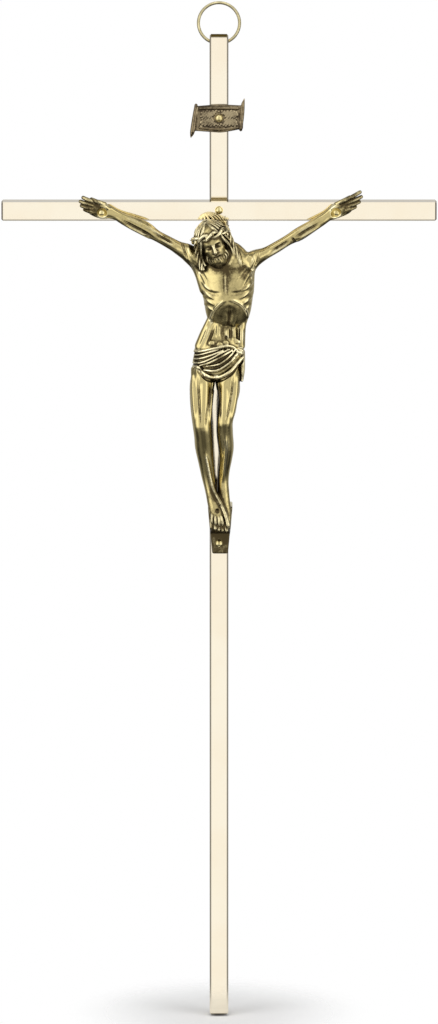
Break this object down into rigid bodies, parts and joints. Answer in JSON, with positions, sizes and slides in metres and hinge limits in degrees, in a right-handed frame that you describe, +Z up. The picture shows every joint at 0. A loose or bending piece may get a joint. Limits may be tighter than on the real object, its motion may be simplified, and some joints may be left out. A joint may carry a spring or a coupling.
{
  "type": "crucifix",
  "caption": "Slim wall crucifix of lapped square brass bars with a riveted cast figure, a scroll plate and a swinging hanging ring",
  "frame": {"origin": "on the wall plane (the upright's back face), straight behind the ring's pivot near the top", "axes": "+Z up along the upright, +X to the viewer's right along the crossbar, +Y into the wall, so the figure faces -Y"},
  "size_m": [0.11, 0.0205, 0.2627],
  "materials": {
    "polished_brass": "polished",
    "antique_brass": "antique, relieved",
    "bright_brass": "bright"
  },
  "bodies": {
    "cross": {"upright": "polished_brass", "crossbar": "polished_brass", "titulus": "antique_brass", "corpus": "antique_brass", "crossing_rivet": "bright_brass", "titulus_rivet": "bright_brass", "left_hand_rivet": "bright_brass", "right_hand_rivet": "bright_brass", "foot_rivet": "bright_brass"},
    "ring": {"hanging_ring": "bright_brass"}
  },
  "joints": [
    {"name": "ring_swing", "type": "hinge", "parent": "cross", "child": "ring", "pos_m": [0, -0.00238, 0], "axis": [1, 0, 0], "range_deg": [-160, 160]}
  ]
}
